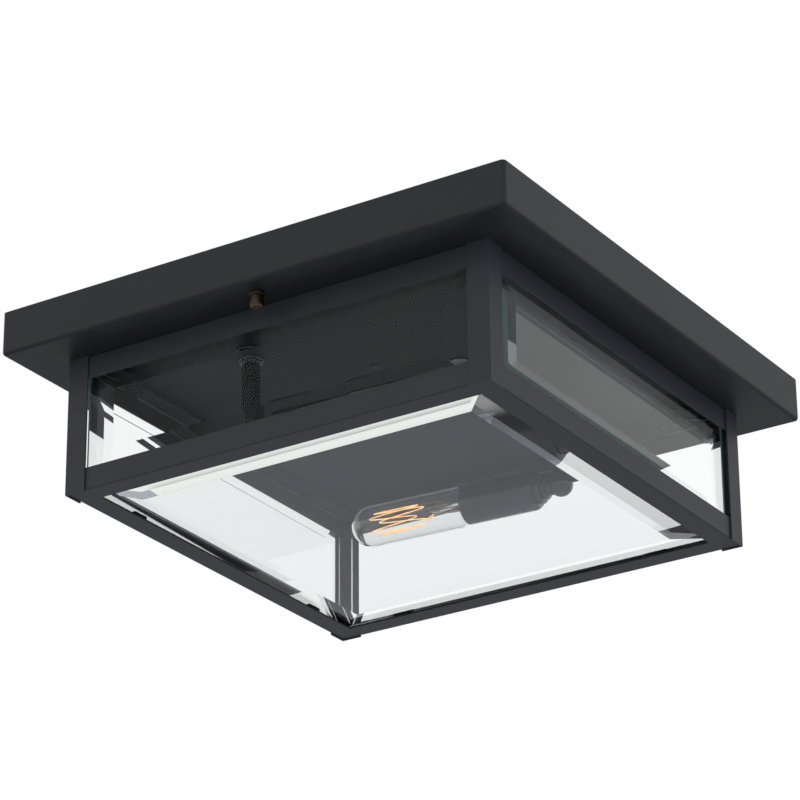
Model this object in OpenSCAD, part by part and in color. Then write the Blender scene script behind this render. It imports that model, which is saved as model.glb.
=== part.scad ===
// Porch ceiling lantern: a square canopy pan and a cage of bevelled glass that hang on two studs,
// round an inner plate that carries two horizontal lamps. Millimetres, +Z up. The origin is the
// middle of the ceiling plane. Front is -Y, right is +X. Depths are measured down from the ceiling.
// Anything that comes four times round the cage is drawn at the front and turned by quarter turns;
// anything that comes twice is drawn for lamp a and turned by half a turn.

/* [Canopy pan] */
// Side of the square pan
pan_w = 305; // [300:1:330]
// Height of the pan's skirt
pan_h = 24.5; // [22:0.5:30]
// Radius of the pan's upright corners
pan_corner_r = 2.2; // [1.5:0.1:4]
// Thickness of the sheet steel, also used for the angles of the frame
sheet_t = 1; // [0.8:0.1:1.2]
// Hole in the pan for each stud
pan_hole_d = 5.2; // [4.8:0.1:6]

/* [Frame] */
// Side of the cage over its corner posts
cage_w = 255; // [250:1:256]
// Height of the cage below the pan
cage_h = 75.5; // [75:0.5:80]
// Leg of the steel angles
angle_leg = 12.5; // [12:0.1:13]
// How far the bottom rails stop above the feet of the posts
rail_lift = 0.5; // [0.4:0.1:0.8]

/* [Glass] */
// Thickness of every pane
pane_t = 5; // [4.6:0.1:5]
// Thickness left at a side pane's edge outside its bevel
side_edge_t = 2.8; // [1.6:0.1:3.2]
// Length of a side pane
side_pane_l = 234; // [230:0.5:240]
// Height of a side pane
side_pane_h = 69; // [67:0.2:69.2]
// Depth of a side pane's upper edge
side_pane_top = 28.1; // [27.6:0.1:28.4]
// Width of the bevel round a side pane
side_bevel = 18; // [12:0.5:20]
// How much higher the left pane stands, which is set with its bevel inward
left_pane_raise = 1.6; // [0:0.1:2]
// Thickness left at the bottom pane's edge outside its bevel
floor_edge_t = 2; // [1.6:0.1:3.4]
// Side of the bottom pane
floor_pane_w = 238; // [234:0.5:238]
// Depth of the bottom pane's lower face
floor_pane_z = 99; // [98.8:0.1:99]
// Width of the bevel round the bottom pane
floor_bevel = 20; // [15:0.5:22]

/* [Glazing parts] */
// Distance of each clip, block and pad from the middle of its side
holder_x = 80; // [60:1:90]
// Width of a clip, and length of a block or pad
holder_l = 10; // [8:0.5:14]
// How far a clip reaches down behind a pane
clip_drop = 8.5; // [7:0.5:9]
// Thickness of a clip
clip_t = 0.8; // [0.6:0.1:1]
// Height of a block's lip above the rail
block_lip_h = 7.5; // [5:0.5:9]

/* [Lamp arms] */
// Distance of a lamp's stem from the middle, to the right
lamp_x = 48.8; // [44:0.1:54]
// Distance of a lamp's stem from the middle, to the back
lamp_y = 73; // [70:0.1:76]
// Depth of a lamp's axis
lamp_z = 61.6; // [58:0.1:64]
// Turn of the arm about its stem, away from the side of the cage
lamp_turn = 4; // [0:0.5:6]
// Outside diameter of the stem
stem_d = 9.6; // [9:0.1:10]
// Bore of the stem
stem_bore = 7; // [6.4:0.1:7.2]
// Depth of the stem's upper end
stem_top = 14; // [12:0.5:15]
// Diameter of the ball elbow
elbow_d = 13; // [12.5:0.1:14]
// Outside diameter of the rolled collar
collar_d = 13.2; // [12:0.1:15]
// Height of the rolled collar
collar_h = 3.4; // [3:0.1:4]
// Outside diameter of the socket cup
cup_d = 21.5; // [21:0.1:23]
// Wall of the socket cup
cup_wall = 1; // [0.8:0.1:1.2]
// Distance from the elbow's centre to the back of the cup
cup_back = 16.5; // [16:0.5:18]
// Distance from the elbow's centre to the mouth of the cup
cup_mouth = 56.7; // [55:0.1:58]

/* [Lampholders] */
// Diameter of the insulator
insulator_d = 17; // [16:0.5:18]
// Bore of the screw shell
shell_bore = 11.84; // [11.8:0.02:11.9]
// Wall of the screw shell
shell_wall = 0.35; // [0.3:0.05:0.4]
// Diameter of the centre contact
contact_d = 4; // [3:0.5:5]

/* [Bulbs] */
// Diameter of the glass tube
bulb_d = 23.6; // [22:0.2:24]
// Distance from the elbow's centre to the tip of the glass
bulb_tip_at = 126.6; // [120:0.2:128]
// Distance from the elbow's centre to where the shoulder reaches full width
bulb_shoulder_at = 62; // [61:0.5:64]
// Wall of the glass
bulb_wall = 0.7; // [0.6:0.1:1]
// Diameter of the screw base
base_d = 11.7; // [11.6:0.02:11.74]
// Diameter of the glass mount that holds the filament
mount_d = 5; // [4:0.5:6]
// Radius of the drum on which the filament lies
filament_r = 5; // [4:0.2:6]
// Diameter of the filament
filament_d = 0.7; // [0.5:0.1:0.8]
// Number of hairpins in the filament
hairpins = 5; // [4:1:6]

/* [Ceiling bar] */
// Width of the bar
bar_w = 20; // [18:1:24]
// Length of the bar
bar_l = 294; // [290:1:298]
// Thickness of the bar
bar_t = 2; // [1.8:0.1:2.5]
// Distance between the outlet box screws
slot_pitch = 88.9; // [85:0.1:92]
// Width of each slot
slot_w = 4.8; // [4.4:0.1:5.2]
// Length of each slot from end to end
slot_l = 20; // [16:1:22]
// Distance between the studs
stud_pitch = 280; // [272:1:284]
// Diameter of the studs
stud_d = 4; // [3.8:0.1:4.2]
// Length of the studs
stud_l = 31.5; // [30:0.5:32]

/* [Inner plate] */
// Side of the square plate
plate_w = 238; // [234:1:240]
// Gap between the plate and the floor of the pan
plate_gap = 0.1; // [0.1:0.1:0.3]
// Distance between the two spacers
spacer_pitch = 60; // [56:1:64]
// Diameter of the spacers
spacer_d = 8; // [7:0.5:9]

/* [Cap nuts] */
// Diameter of a cap nut
cap_nut_d = 7.6; // [7.4:0.1:9]
// Height of a cap nut
cap_nut_h = 9; // [8.8:0.1:11]
// Clearance of the stud in the cap nut, on the radius
cap_nut_fit = 0.06; // [0.04:0.01:0.1]

/* [Wiring] */
// Diameter of an insulated wire
wire_d = 1.8; // [1.4:0.1:2]
// Diameter of the bare earth wire
earth_d = 1.6; // [1.2:0.1:1.6]
// Length of a wire connector
connector_l = 22; // [18:1:24]

/* [Hidden] */
$fn = 48;

BLACK = "#2c2d31";
STEEL = "#b4b6b8";
BRASS = "#b08d4a";
GLASS = "#cfe6df";
RUBBER = "#3a3a3a";

// What is cut away runs this much past the faces it opens
eps = 0.5;

// Frame: the rails' outer faces touch the inner faces of the posts
cage_bottom = pan_h + cage_h;
post_out = cage_w / 2;
rail_out = post_out - sheet_t;
rail_in = rail_out - angle_leg;
rail_floor = cage_bottom - rail_lift - sheet_t;

// Panes: outer faces just inside the upright legs of the rails
pane_gap = 0.2;
pane_out = rail_out - sheet_t - pane_gap;
pane_in = pane_out - pane_t;
pane_top_of = [0, 0, 0, left_pane_raise];
pane_flip_of = [false, false, false, true];
side_slope = (pane_t - side_edge_t) / side_bevel;
floor_slope = (pane_t - floor_edge_t) / floor_bevel;

// Inner plate
plate_top = pan_h - 2 * sheet_t - plate_gap;
plate_bottom = plate_top + sheet_t;

// Nuts, screws and wiring of the ceiling mount
stud_nut_d = 8.1;
stud_nut_h = 3.2;
stem_nut_d = 15;
stem_nut_h = 4;
plate_screw_d = 3;
plate_screw_head_h = 0.9;
spacer_tap_top = 12;
ground_y = 12;
ground_d = 3.5;
ground_head_top = bar_t + earth_d;
ground_head_h = 2.2;
lead_offset = 1.3;
cap_nut_gap = 0.05;

// Lamp arm: the elbow seats the stem and the neck of the cup, and its ways carry the wires
neck_start = stem_d / 2 + 0.1;
neck_d = 9.2;
wire_way_d = 6.4;
stem_seat = lamp_z - 3.6;

// Lampholder and bulb, along the lamp's axis from the elbow's centre
holder_start = cup_back + 3.5;
holder_end = cup_mouth - 4.7;
well_start = holder_start + 10;
shell_start = well_start + 1.5;
contact_end = well_start + 6.8;
base_start = contact_end + 2;
base_end = cup_mouth + 0.8;
lamp_r = bulb_d / 2;
bulb_cap_at = bulb_tip_at - lamp_r;
shoulder_r = 4.6;
neck_glass_r = 5.1;
mount_end = 74;
pinch_h = 4;
filament_low = 80;
filament_high = 116;

function unit(v) = v / norm(v);
function tangent(p, i) =
    unit((i > 0 ? unit(p[i] - p[i - 1]) : [0, 0, 0])
        + (i < len(p) - 1 ? unit(p[i + 1] - p[i]) : [0, 0, 0]));
function square_to(v, t) = unit(v - (v * t) * t);
// One vector across the path at each of its points, carried along without twist
function across(p, start) = [
    for (i = 0, v = square_to(start, tangent(p, 0)); i < len(p);
         v = i + 1 < len(p) ? square_to(v, tangent(p, i + 1)) : v, i = i + 1) v
];
function ring(p, i, v, r, sides) =
    let (w = cross(tangent(p, i), v))
    [for (k = [0:sides - 1]) p[i] + r * (cos(360 * k / sides) * v + sin(360 * k / sides) * w)];

// Round tube along the points p; start is any vector across its first stretch
module tube(p, d, start, sides = 8) {
    v = across(p, start);
    last = (len(p) - 1) * sides;
    polyhedron(
        points = [for (i = [0:len(p) - 1]) each ring(p, i, v[i], d / 2, sides)],
        faces = concat(
            [[for (k = [0:sides - 1]) k]],
            [for (i = [0:len(p) - 2], k = [0:sides - 1])
                let (a = i * sides + k, b = i * sides + (k + 1) % sides)
                each [[a, a + sides, b + sides], [a, b + sides, b]]],
            [[for (k = [0:sides - 1]) last + sides - 1 - k]]
        )
    );
}

module quarter(i) rotate([0, 0, 90 * i]) children();
module half(i) rotate([0, 0, 180 * i]) children();
module mirrored_x() for (s = [0, 1]) mirror([s, 0, 0]) children();
module on_both(pitch) for (s = [-1, 1]) translate([0, s * pitch / 2, 0]) children();

// Box from one depth to another: x and y as [low, high] pairs
module slab(x, y, top, bottom)
    translate([x[0], y[0], -bottom]) cube([x[1] - x[0], y[1] - y[0], bottom - top]);
// Upright cylinder between two depths
module upright(d, top, bottom) translate([0, 0, -bottom]) cylinder(d = d, h = bottom - top);
module rounded_square(side, r) {
    square([side, side - 2 * r], center = true);
    square([side - 2 * r, side], center = true);
    for (x = [-1, 1], y = [-1, 1]) translate([x, y] * (side / 2 - r)) circle(r);
}
// Puts a lamp's axis along +Z, with the elbow's centre at the origin
module lamp_axis()
    translate([lamp_x, lamp_y, -lamp_z]) rotate([0, 0, lamp_turn]) rotate([0, -90, 0]) children();
module at_stem() translate([lamp_x, lamp_y, 0]) children();
// Ring or tube about the lamp's axis
module sleeve(d, bore, from, to) translate([0, 0, from]) difference() {
    cylinder(d = d, h = to - from);
    translate([0, 0, -eps]) cylinder(d = bore, h = to - from + 2 * eps);
}

// Ceiling mount ------------------------------------------------------------------------------

module slot() for (y = [-1, 1] * (slot_l - slot_w) / 2)
    translate([0, y, 0]) upright(slot_w, -eps, bar_t + eps);

module crossbar() color(STEEL) difference() {
    slab([-bar_w / 2, bar_w / 2], [-bar_l / 2, bar_l / 2], 0, bar_t);
    on_both(slot_pitch) {
        slot();
        slab([-slot_w / 2, slot_w / 2], [-1, 1] * (slot_l - slot_w) / 2, -eps, bar_t + eps);
    }
    on_both(stud_pitch) upright(stud_d, -eps, bar_t + eps);
    on_both(spacer_pitch) upright(spacer_d / 2, -eps, bar_t + eps);
    translate([0, ground_y, 0]) upright(ground_d, -eps, bar_t + eps);
}

module studs() color(STEEL) on_both(stud_pitch) upright(stud_d, 0, stud_l);

module stud_nuts() color(STEEL) on_both(stud_pitch) difference() {
    translate([0, 0, -bar_t - stud_nut_h]) cylinder(d = stud_nut_d, h = stud_nut_h, $fn = 6);
    upright(stud_d, 0, bar_t + stud_nut_h + eps);
}

// Spacer with a spigot that is peened over in the bar and a tapped hole for its plate screw
module stand_offs() color(STEEL) on_both(spacer_pitch) difference() {
    union() {
        upright(spacer_d / 2, 0, bar_t + eps);
        upright(spacer_d, bar_t, plate_top);
    }
    upright(plate_screw_d, spacer_tap_top, plate_top + eps);
}

module plate_screws() color(BLACK) on_both(spacer_pitch) {
    upright(plate_screw_d, spacer_tap_top + 1, plate_bottom + eps);
    upright(2 * plate_screw_d, plate_bottom, plate_bottom + plate_screw_head_h);
}

module back_plate() color(BLACK) difference() {
    slab([-plate_w / 2, plate_w / 2], [-plate_w / 2, plate_w / 2], plate_top, plate_bottom);
    on_both(spacer_pitch) upright(plate_screw_d, plate_top - eps, plate_bottom + eps);
    for (i = [0, 1]) half(i) at_stem() upright(stem_d, plate_top - eps, plate_bottom + eps);
}

module ground_screw() color("#3f8a4f") translate([0, ground_y, 0]) {
    upright(ground_d, 0, ground_head_top + eps);
    upright(2.2 * ground_d, ground_head_top, ground_head_top + ground_head_h);
}

// Earth wire: an open loop under the screw's head, then a tail to its connector
ground_loop_r = (ground_d + earth_d) / 2 + 0.1;
ground_tail = [[-6, 15.6, -3], [-12, 16, -4.5], [-18, 16, -8], [-23, 14, -11], [-24, 10, -12],
               [-24, 4, -12]];
ground_path = concat(
    [for (a = [-200:20:80])
        [ground_loop_r * cos(a), ground_y + ground_loop_r * sin(a), -bar_t - earth_d / 2]],
    ground_tail);
module ground_wire() color("#b5703c") tube(ground_path, earth_d, [0, 0, 1]);

// Wire connectors: a tapering cap on the live, the neutral and the earth wires
connector_mouths = [[35.2, 20], [63.3, 20], [-24, 4]];
connector_z = 12;
module wire_connectors() color("#c9a227") for (m = connector_mouths)
    translate([m[0], m[1], -connector_z]) rotate([90, 0, 0])
        cylinder(r1 = 6.2, r2 = 4, h = connector_l);

// Lamp arms ----------------------------------------------------------------------------------

module stem() color(BLACK) at_stem() difference() {
    upright(stem_d, stem_top, stem_seat);
    upright(stem_bore, stem_top - eps, stem_seat + eps);
}
module stem_nuts() color(STEEL) for (i = [0, 1]) half(i) at_stem() difference() {
    translate([0, 0, -plate_top]) cylinder(d = stem_nut_d, h = stem_nut_h, $fn = 6);
    upright(stem_d, plate_top - stem_nut_h - eps, plate_top + eps);
}

// Collar rolled in two beads, against the underside of the plate
module stem_collars() color(BLACK) for (i = [0, 1]) half(i) at_stem()
    translate([0, 0, -plate_bottom]) rotate_extrude() difference() {
        bead_r = collar_h / 4;
        union() {
            for (k = [0, 1]) translate([collar_d / 2 - bead_r - 0.6 * k, -bead_r * (1 + 2 * k)])
                circle(bead_r);
            translate([0, -collar_h]) square([collar_d / 2 - 1.4, collar_h]);
        }
        translate([0, -collar_h - eps]) square([stem_d / 2, collar_h + 2 * eps]);
    }

// Ball elbow: seats for the stem and for the neck of the cup, joined by a wire way
module elbow() color(BLACK) difference() {
    translate([lamp_x, lamp_y, -lamp_z]) sphere(d = elbow_d);
    at_stem() upright(stem_d, stem_seat - elbow_d, stem_seat);
    at_stem() upright(wire_way_d, stem_seat - eps, lamp_z);
    lamp_axis() translate([0, 0, neck_start]) cylinder(d = neck_d, h = elbow_d);
    lamp_axis() cylinder(d = wire_way_d, h = elbow_d);
}

// Cup: neck, two turned steps and a drawn barrel, outer radius against distance along the axis
module socket_cup() color(BLACK) lamp_axis() rotate_extrude() difference() {
    polygon([
        [wire_way_d / 2, neck_start], [neck_d / 2, neck_start], [neck_d / 2, 7.4],
        [5.6, 7.8], [6.2, 8.6], [6.2, 9.6], [5.8, 10.2],
        [7.2, 10.6], [8, 11.6], [8, 12.8], [7.6, 13.6],
        [9.2, 13.9], [cup_d / 2 - 0.4, cup_back - 1.2], [cup_d / 2, cup_back],
        [cup_d / 2, cup_mouth], [wire_way_d / 2, cup_mouth]
    ]);
    translate([0, cup_back + cup_wall]) square([cup_d / 2 - cup_wall, cup_mouth]);
}

// Insulator: a flange fills the cup, with a well for the screw shell
module socket_insulator() color("#8d8a80") lamp_axis() difference() {
    union() {
        translate([0, 0, holder_start]) cylinder(d = insulator_d, h = holder_end - holder_start);
        translate([0, 0, cup_back + cup_wall]) cylinder(d = cup_d - 2 * cup_wall, h = 3);
    }
    translate([0, 0, well_start]) cylinder(d = shell_bore + 2 * shell_wall, h = cup_mouth);
}

module screw_shell() color(BRASS) lamp_axis()
    sleeve(shell_bore + 2 * shell_wall, shell_bore, shell_start, holder_end - 1);

module socket_contact() color(BRASS) lamp_axis()
    translate([0, 0, well_start]) cylinder(d = contact_d, h = contact_end - well_start - 0.2);

// Leads: side by side along the arm and up the stem, then to the connectors in the pan
function arm_way(s) = [
    for (p = [[cup_back + cup_wall, 0], [5, 0], [1.6, 0.5], [0.3, 2.4], [0, 6]])
        [lamp_x - p[0] * cos(lamp_turn), lamp_y + s * lead_offset - p[0] * sin(lamp_turn),
         p[1] - lamp_z]
];
lead_a_live = [[48.8, 71.7, -16], [48, 70, -12.5], [45, 66, -12], [36, 50, -12], [34, 44, -12],
               [34, 20, -12]];
lead_a_neutral = [[48.8, 74.3, -16], [50.5, 73.5, -12.5], [55, 70, -12], [61, 52, -12],
                  [62, 44, -12], [62, 20, -12]];
lead_b_live = [[-48.8, -71.7, -16], [-48, -70, -11], [-45, -63, -8], [-40, -40, -8],
               [-40, 36, -8], [-36, 42, -8], [-28, 44, -8], [24, 44, -8], [32, 41, -8.5],
               [36.4, 34, -11], [36.4, 20, -12]];
lead_b_neutral = [[-48.8, -74.3, -16], [-50, -73, -11], [-54, -66, -8], [-56, -40, -8],
                  [-56, 44, -8], [-52, 52, -8], [-44, 54, -8], [52, 54, -8], [61, 51, -8],
                  [64.4, 44, -8.5], [64.6, 34, -11], [64.6, 20, -12]];
function half_turned(points) = [for (p = points) [-p[0], -p[1], p[2]]];

module leads_a() {
    color("#222222") tube(concat(arm_way(-1), lead_a_live), wire_d, [0, 1, 0]);
    color("#e8e8e4") tube(concat(arm_way(1), lead_a_neutral), wire_d, [0, 1, 0]);
}
module leads_b() {
    color("#222222") tube(concat(half_turned(arm_way(-1)), lead_b_live), wire_d, [0, 1, 0]);
    color("#e8e8e4") tube(concat(half_turned(arm_way(1)), lead_b_neutral), wire_d, [0, 1, 0]);
}

// Cage ---------------------------------------------------------------------------------------

module canopy_pan() color(BLACK) difference() {
    translate([0, 0, -pan_h]) linear_extrude(pan_h) rounded_square(pan_w, pan_corner_r);
    translate([0, 0, sheet_t - pan_h]) linear_extrude(pan_h)
        rounded_square(pan_w - 2 * sheet_t, pan_corner_r - sheet_t);
    slab([-rail_in, rail_in], [-rail_in, rail_in], 0, pan_h + eps);
    on_both(stud_pitch) upright(pan_hole_d, 0, pan_h + eps);
}

module post() color(BLACK) {
    legs = [-post_out, -post_out + angle_leg];
    web = [-post_out, -post_out + sheet_t];
    slab(legs, web, pan_h, cage_bottom);
    slab(web, legs, pan_h, cage_bottom);
}

// Front rail with mitred ends: upright leg outside, flange inward at the depth given
module rail(leg_top, flange_top) color(BLACK) intersection() {
    union() {
        slab([-rail_out, rail_out], [-rail_out, -rail_out + sheet_t], leg_top, leg_top + angle_leg);
        slab([-rail_out, rail_out], [-rail_out, -rail_in], flange_top, flange_top + sheet_t);
    }
    translate([0, 0, -cage_bottom]) linear_extrude(cage_h)
        polygon([[0, 0], [-rail_out, -rail_out], [rail_out, -rail_out]]);
}
module top_rail() rail(pan_h, pan_h);
module bottom_rail() rail(rail_floor + sheet_t - angle_leg, rail_floor);

// Pane in the XZ plane with its middle at the origin, plain face at y = 0, bevelled face at
// y = -pane_t. One turned block planes off the bevel along each edge.
module pane(w, h, bevel, edge_t) color(GLASS, 0.4) difference() {
    translate([-w / 2, -pane_t, -h / 2]) cube([w, pane_t, h]);
    for (i = [0:3]) rotate([0, 90 * i, 0])
        translate([-w, -edge_t, (i % 2 == 0 ? h : w) / 2])
            rotate([-atan((pane_t - edge_t) / bevel), 0, 0])
                translate([0, -2 * pane_t, -2 * bevel]) cube([2 * w, 2 * pane_t, 3 * bevel]);
}

module side_pane(i) quarter(i)
    translate([0, pane_flip_of[i] ? -pane_out : -pane_in,
               pane_top_of[i] - side_pane_top - side_pane_h / 2])
        rotate([0, 0, pane_flip_of[i] ? 180 : 0])
            pane(side_pane_l, side_pane_h, side_bevel, side_edge_t);

module bottom_pane() translate([0, 0, pane_t - floor_pane_z])
    rotate([90, 0, 0]) pane(floor_pane_w, floor_pane_w, floor_bevel, floor_edge_t);

// Bent tabs under the top rails, two behind the upper edge of each side pane
module pane_clips() color(BLACK) for (i = [0:3]) quarter(i) mirrored_x() {
    top = pan_h + sheet_t;
    reach = clip_drop - (side_pane_top - pane_top_of[i] - top);
    leaf = pane_flip_of[i] ? -pane_out + side_edge_t + side_slope * reach : -pane_in;
    x = [holder_x - holder_l / 2, holder_x + holder_l / 2];
    slab(x, [leaf, -rail_in - 0.5], top, top + clip_t);
    slab(x, [leaf, leaf + clip_t], top, top + clip_drop);
}

// Rubber blocks on the bottom rails, two under each side pane, with a lip behind the glass
module side_pane_blocks() color(RUBBER) for (i = [0:3]) quarter(i) mirrored_x() {
    x = [holder_x - holder_l / 2, holder_x + holder_l / 2];
    slab(x, [-pane_out, -floor_pane_w / 2 - 0.1], side_pane_top + side_pane_h - pane_top_of[i],
         rail_floor);
    if (!pane_flip_of[i])
        slab(x, [-pane_in, -floor_pane_w / 2 - 0.1], rail_floor - block_lip_h, rail_floor);
}

// Rubber pads on the bottom rails, two under each edge of the bottom pane's bevel
module bottom_pane_pads() color(RUBBER) for (i = [0:3]) quarter(i) mirrored_x() {
    inner = rail_in + 0.4;
    bevel_z = floor_pane_z - pane_t + floor_edge_t + floor_slope * (floor_pane_w / 2 - inner);
    slab([holder_x - holder_l / 2, holder_x + holder_l / 2], [-floor_pane_w / 2, -inner],
         bevel_z, rail_floor);
}

// Cap nut on a stud, from its top face down: rim, groove, barrel and domed end
module cap_nut() color("#6b5a3c") translate([0, -stud_pitch / 2, -pan_h - cap_nut_gap]) difference() {
    rotate_extrude() polygon([
        [0, 0], [cap_nut_d / 2, 0], [cap_nut_d / 2, -1.3], [cap_nut_d / 2 - 0.6, -1.7],
        [cap_nut_d / 2 - 0.6, -2.3], [cap_nut_d / 2 - 0.1, -2.7],
        [cap_nut_d / 2 - 0.1, 1.2 - cap_nut_h], [cap_nut_d / 2 - 0.5, 0.4 - cap_nut_h],
        [cap_nut_d / 2 - 1.4, -cap_nut_h], [0, -cap_nut_h]
    ]);
    upright(stud_d + 2 * cap_nut_fit, -eps, stud_l - pan_h + 0.5);
}

// Bulbs --------------------------------------------------------------------------------------

// Half outline of the glass, inset by t: domed end, tube, rounded shoulder and neck
function bulb_line(t) = concat(
    [for (a = [90:-15:0]) [(lamp_r - t) * cos(a), bulb_cap_at + (lamp_r - t) * sin(a)]],
    [for (a = [0:-22.5:-90])
        [lamp_r - shoulder_r + (shoulder_r - t) * cos(a),
         bulb_shoulder_at + (shoulder_r - t) * sin(a)]],
    [[neck_glass_r - t, bulb_shoulder_at - shoulder_r + t], [neck_glass_r - t, base_start + 4]]
);
module bulb_glass() color(GLASS, 0.3) lamp_axis() rotate_extrude()
    polygon(concat(bulb_line(0), [for (i = [len(bulb_line(0)) - 1:-1:0]) bulb_line(bulb_wall)[i]]));

module bulb_base() color(BRASS) lamp_axis() difference() {
    translate([0, 0, base_start]) cylinder(d = base_d, h = base_end - base_start - 0.4);
    translate([0, 0, base_start + 2]) cylinder(r = neck_glass_r, h = base_end);
}

module bulb_contact() color(STEEL) lamp_axis() {
    translate([0, 0, contact_end + 0.6]) cylinder(r1 = 3, r2 = 5, h = base_start - contact_end - 0.6);
    translate([0, 0, contact_end]) cylinder(r = 2.2, h = 0.8);
}

// Glass mount: a flare sealed in the neck, a stub and a pinched head
module glass_mount() color(GLASS, 0.5) lamp_axis() {
    translate([0, 0, base_start + 4]) cylinder(r = neck_glass_r - bulb_wall, h = 2);
    translate([0, 0, base_start + 5]) cylinder(d = mount_d, h = mount_end - base_start - 5);
    translate([-mount_d / 2, -0.8, mount_end - eps]) cube([mount_d, 1.6, pinch_h]);
}

// Filament: hairpins round a drum, up and down as a cosine of the angle, with a leg at each end
// that comes out of the pinched head
hairpin_steps = 12;
filament_turn = 340;
leg = [for (p = [[1.6, mount_end + pinch_h - eps], [1.6, mount_end + pinch_h + 0.3], [3.6, 79.2]])
    [p[0], 0, p[1]]];
function turned(p, a) = [p[0] * cos(a) - p[1] * sin(a), p[0] * sin(a) + p[1] * cos(a), p[2]];
filament_path = concat(
    leg,
    [for (i = [0:hairpins * hairpin_steps])
        let (wave = cos(360 * i / hairpin_steps))
        turned([filament_r, 0,
                (filament_low + filament_high - wave * (filament_high - filament_low)) / 2],
               filament_turn * i / (hairpins * hairpin_steps))],
    [for (i = [len(leg) - 1:-1:0]) turned(leg[i], filament_turn)]
);
module filament() color("#e0893a") lamp_axis() tube(filament_path, filament_d, [1, 0, 0], 5);

crossbar();
studs();
stud_nuts();
stand_offs();
plate_screws();
back_plate();
ground_screw();
ground_wire();
wire_connectors();
stem_nuts();
stem_collars();
stem();  // stem_a
elbow();  // elbow_a
socket_cup();  // socket_cup_a
socket_insulator();  // socket_insulator_a
screw_shell();  // screw_shell_a
socket_contact();  // socket_contact_a
leads_a();
half(1) stem();  // stem_b
half(1) elbow();  // elbow_b
half(1) socket_cup();  // socket_cup_b
half(1) socket_insulator();  // socket_insulator_b
half(1) screw_shell();  // screw_shell_b
half(1) socket_contact();  // socket_contact_b
leads_b();
canopy_pan();
post();  // post_front_left
quarter(1) post();  // post_front_right
quarter(2) post();  // post_back_right
quarter(3) post();  // post_back_left
top_rail();  // top_rail_front
quarter(1) top_rail();  // top_rail_right
quarter(2) top_rail();  // top_rail_back
quarter(3) top_rail();  // top_rail_left
bottom_rail();  // bottom_rail_front
quarter(1) bottom_rail();  // bottom_rail_right
quarter(2) bottom_rail();  // bottom_rail_back
quarter(3) bottom_rail();  // bottom_rail_left
side_pane(0);  // side_pane_front
side_pane(1);  // side_pane_right
side_pane(2);  // side_pane_back
side_pane(3);  // side_pane_left
bottom_pane();
pane_clips();
side_pane_blocks();
bottom_pane_pads();
cap_nut();  // cap_nut_front
half(1) cap_nut();  // cap_nut_back
bulb_glass();  // bulb_glass_a
bulb_base();  // bulb_base_a
bulb_contact();  // bulb_contact_a
glass_mount();  // glass_mount_a
filament();  // filament_a
half(1) bulb_glass();  // bulb_glass_b
half(1) bulb_base();  // bulb_base_b
half(1) bulb_contact();  // bulb_contact_b
half(1) glass_mount();  // glass_mount_b
half(1) filament();  // filament_b
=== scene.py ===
import math

import bmesh
import bpy
import numpy as np
from mathutils import Matrix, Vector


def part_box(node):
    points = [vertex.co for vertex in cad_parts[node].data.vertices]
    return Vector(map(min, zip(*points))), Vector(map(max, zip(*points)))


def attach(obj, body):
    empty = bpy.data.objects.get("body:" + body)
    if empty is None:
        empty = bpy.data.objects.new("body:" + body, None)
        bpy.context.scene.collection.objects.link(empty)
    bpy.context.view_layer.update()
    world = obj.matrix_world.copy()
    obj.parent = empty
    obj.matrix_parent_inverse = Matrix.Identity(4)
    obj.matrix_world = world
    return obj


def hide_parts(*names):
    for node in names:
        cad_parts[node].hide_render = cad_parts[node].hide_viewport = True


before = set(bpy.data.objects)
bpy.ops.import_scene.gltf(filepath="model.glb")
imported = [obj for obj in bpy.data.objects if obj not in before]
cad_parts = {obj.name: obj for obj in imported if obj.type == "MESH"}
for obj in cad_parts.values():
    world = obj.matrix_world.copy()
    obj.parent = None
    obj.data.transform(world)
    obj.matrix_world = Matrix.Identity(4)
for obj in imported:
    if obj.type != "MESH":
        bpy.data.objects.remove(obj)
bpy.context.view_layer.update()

MM = 0.001


# Camera ------------------------------------------------------------------------------------
# The lantern hangs overhead: a long lens looks up at its underside from below the front right
# corner.
camera = bpy.data.objects.new("camera", bpy.data.cameras.new("camera"))
camera.data.sensor_width = 36
camera.data.lens = 159.71
camera.data.clip_end = 100
camera.matrix_world = Matrix((
    (0.838911, 0.230234, 0.493175, 0.91907),
    (0.544224, -0.343143, -0.765554, -1.43562),
    (-0.007027, 0.910629, -0.413165, -0.80397),
    (0, 0, 0, 1)))
bpy.context.collection.objects.link(camera)
bpy.context.scene.camera = camera
bpy.context.scene.view_settings.view_transform = "Standard"


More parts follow.
